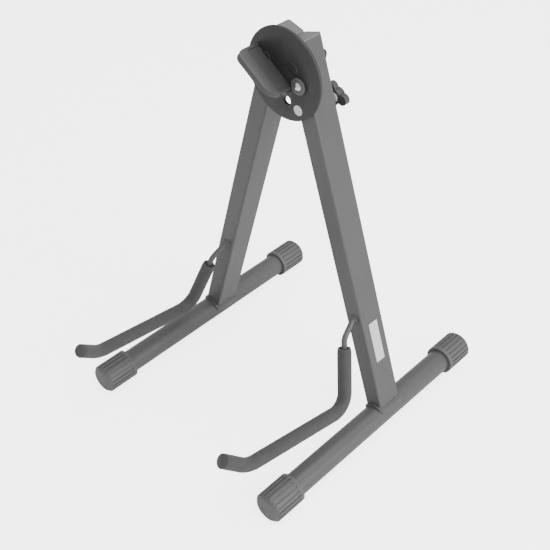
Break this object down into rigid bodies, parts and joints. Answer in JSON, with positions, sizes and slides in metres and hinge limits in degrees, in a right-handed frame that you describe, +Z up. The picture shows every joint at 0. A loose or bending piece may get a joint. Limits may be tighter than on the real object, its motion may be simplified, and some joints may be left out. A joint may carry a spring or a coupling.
{
  "type": "folding A-frame instrument stand",
  "caption": "Folding A-frame floor stand for a stringed instrument: two square-tube legs on round foot tubes, padded arms, head disc, carry ledge and lock knob.",
  "frame": {"origin": "on the floor, under the middle of the open stand", "axes": "+X towards the right foot as the user faces the head disc, -Y the front, where the arms and the disc point, +Z up"},
  "size_m": [0.2864, 0.3492, 0.4173],
  "materials": {
    "grey_paint": "satin graphite grey powder coat, fine texture",
    "grey_plastic": "grey moulded plastic, matched to the paint",
    "cap_rubber": "dark grey moulded rubber, ribbed",
    "sleeve_foam": "closed-cell foam tube, fine pores",
    "black_plate": "black powder coat, satin",
    "black_plastic": "black moulded plastic, fine texture",
    "collar_plastic": "dark grey moulded plastic",
    "black_steel": "blackened steel",
    "zinc_steel": "zinc plated steel",
    "bright_steel": "bright plated steel",
    "nylon": "natural nylon",
    "label_vinyl": "plain pale vinyl label, no lettering"
  },
  "bodies": {
    "left_frame": {"left_leg_tube": "grey_paint", "left_foot_tube": "grey_paint", "left_leg_weld": "grey_paint", "left_top_plug": "grey_plastic", "left_front_cap": "cap_rubber", "left_back_cap": "cap_rubber", "left_arm_rod": "grey_paint", "left_arm_weld": "grey_paint", "left_arm_sleeve": "sleeve_foam", "left_arm_tip_plug": "black_plastic", "head_disc": "black_plate", "carry_grip": "black_plastic", "grip_screws": "zinc_steel", "pivot_bolt": "black_steel", "disc_bolts": "black_steel", "pivot_front_washer": "nylon", "disc_spacers": "zinc_steel", "pivot_back_washer": "zinc_steel", "disc_bolt_washers": "zinc_steel", "pivot_nut": "black_steel", "disc_nuts": "black_steel", "disc_bolt_bushes": "zinc_steel", "button_collar": "collar_plastic", "button_spring": "bright_steel", "disc_label": "label_vinyl"},
    "right_frame": {"right_leg_tube": "grey_paint", "right_foot_tube": "grey_paint", "right_leg_weld": "grey_paint", "right_top_plug": "grey_plastic", "right_front_cap": "cap_rubber", "right_back_cap": "cap_rubber", "right_arm_rod": "grey_paint", "right_arm_weld": "grey_paint", "right_arm_sleeve": "sleeve_foam", "right_arm_tip_plug": "black_plastic", "pivot_bush": "zinc_steel", "lock_nut": "grey_paint", "leg_label": "label_vinyl"},
    "button": {"push_button": "bright_steel"},
    "lock_carrier": {"lock_washer": "nylon"},
    "knob": {"lock_knob": "black_plastic", "lock_stud": "bright_steel"}
  },
  "joints": [
    {"name": "fold_hinge", "type": "hinge", "parent": "left_frame", "child": "right_frame", "pos_m": [0.01611, 0.04157, 0.38279], "axis": [0, 1, 0], "range_deg": [0, 33.5]},
    {"name": "button_press", "type": "slide", "parent": "left_frame", "child": "button", "axis": [0, 1, 0], "range_m": [0, 0.0015], "stiffness_N_per_m": 400, "springref_m": -0.001, "deforming": ["button_spring"]},
    {"name": "lock_travel", "type": "slide", "parent": "right_frame", "child": "lock_carrier", "axis": [0, 1, 0], "range_m": [0, 0.0025]},
    {"name": "lock_turn", "type": "hinge", "parent": "lock_carrier", "child": "knob", "pos_m": [0.02841, 0.04157, 0.34212], "axis": [0, 1, 0], "range_deg": [0, 720]}
  ],
  "couplings": [
    {"joint": "lock_turn", "follows": "lock_travel", "rad_per_m": 5026.5}
  ]
}
